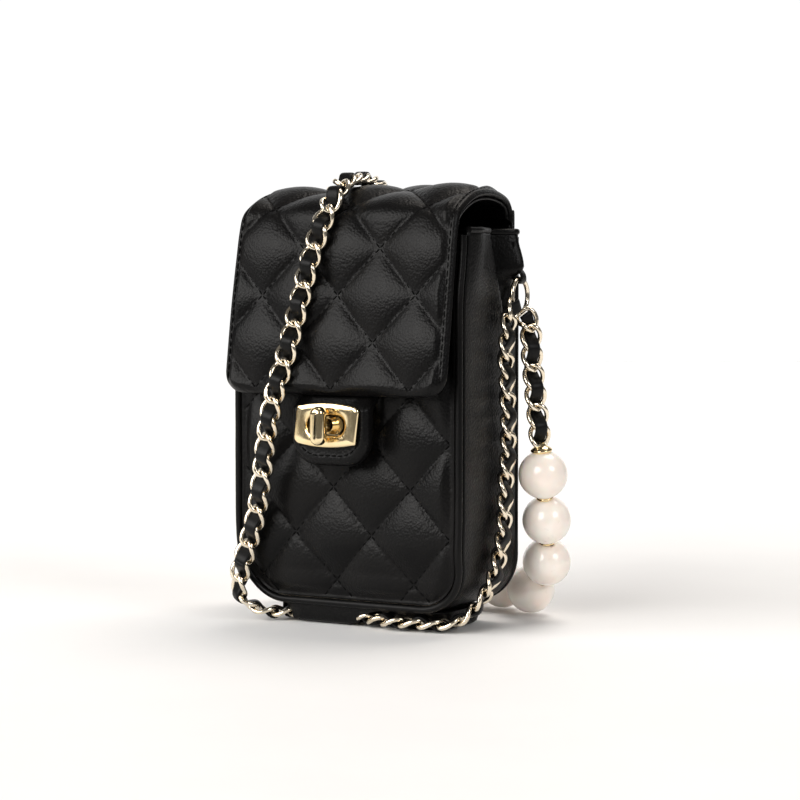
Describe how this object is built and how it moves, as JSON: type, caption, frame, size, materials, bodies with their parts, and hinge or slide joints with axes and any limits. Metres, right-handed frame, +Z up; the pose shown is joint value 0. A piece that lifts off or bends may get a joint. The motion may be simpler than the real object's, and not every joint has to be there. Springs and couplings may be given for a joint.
{
  "type": "crossbody purse",
  "caption": "Tall quilted leather crossbody purse with a padded flap, a turn lock, a pearl bead handle and a long woven chain strap.",
  "frame": {"origin": "the middle of the flat base that the purse stands on", "axes": "+X to the viewer's right as the front is looked at, the front faces -Y, +Z up"},
  "size_m": [0.1496, 0.1747, 0.185],
  "materials": {
    "quilted_leather": "grained, quilted, semi-gloss",
    "smooth_leather": "grained, semi-gloss",
    "lining_fabric": "fine woven",
    "stiffener_board": "raw pressed fibre board",
    "polished_gold": "mirror polished",
    "chain_gold": "polished pale gold",
    "steel": "plain",
    "pearl": "pearl lustre"
  },
  "bodies": {
    "bag": {"front_panel": "quilted_leather", "back_panel": "smooth_leather", "gusset": "smooth_leather", "front_piping": "smooth_leather", "back_piping": "smooth_leather", "mouth_binding": "smooth_leather", "front_board": "stiffener_board", "back_board": "stiffener_board", "base_board": "stiffener_board", "lining_front": "lining_fabric", "lining_back": "lining_fabric", "lining_gusset": "lining_fabric", "slip_pocket": "lining_fabric", "base_pad": "smooth_leather", "lock_base_plate": "polished_gold", "lock_backing_plate": "steel", "right_ring_tab": "smooth_leather", "right_ring": "chain_gold", "left_ring_tab": "smooth_leather", "left_ring": "chain_gold", "strap_side": "chain_gold", "strap_back": "chain_gold"},
    "turn_knob": {"turn_knob": "polished_gold", "knob_washer": "steel"},
    "flap_top": {"flap_top_outer": "quilted_leather", "flap_top_lining": "lining_fabric"},
    "flap_front": {"flap_front_outer": "quilted_leather", "flap_front_lining": "lining_fabric", "closure_tab": "smooth_leather", "lock_plate": "polished_gold", "lock_plate_back": "polished_gold"},
    "handle": {"handle_chain_right": "chain_gold", "handle_chain_left": "chain_gold", "handle_cable": "steel", "pearl_1": "pearl", "pearl_2": "pearl", "pearl_3": "pearl", "pearl_4": "pearl", "pearl_5": "pearl", "pearl_6": "pearl", "pearl_7": "pearl", "pearl_8": "pearl", "pearl_9": "pearl", "pearl_10": "pearl", "pearl_11": "pearl", "pearl_12": "pearl"},
    "strap_front": {"strap_front": "chain_gold"}
  },
  "joints": [
    {"name": "knob_turn", "type": "hinge", "parent": "bag", "child": "turn_knob", "pos_m": [0, -0.0487, 0.083], "axis": [0, -1, 0], "range_deg": [0, 90]},
    {"name": "flap_open", "type": "hinge", "parent": "bag", "child": "flap_top", "pos_m": [0, 0.0255, 0.1637], "axis": [-1, 0, 0], "range_deg": [0, 150], "deforming": ["strap_back"]},
    {"name": "flap_bend", "type": "hinge", "parent": "flap_top", "child": "flap_front", "pos_m": [0, -0.0268, 0.1678], "axis": [-1, 0, 0], "range_deg": [0, 75]},
    {"name": "handle_swing", "type": "hinge", "parent": "bag", "child": "handle", "pos_m": [0, 0.0175, 0.134], "axis": [1, 0, 0], "range_deg": [0, 180]},
    {"name": "strap_aside", "type": "hinge", "parent": "bag", "child": "strap_front", "pos_m": [-0.0469, -0.0321, 0.0229], "axis": [0, -1, 0], "range_deg": [0, 24], "deforming": ["strap_front"]}
  ],
  "couplings": [
    {"joint": "flap_bend", "follows": "flap_open", "ratio": 0.5},
    {"joint": "strap_aside", "follows": "flap_open", "ratio": 0.16}
  ]
}
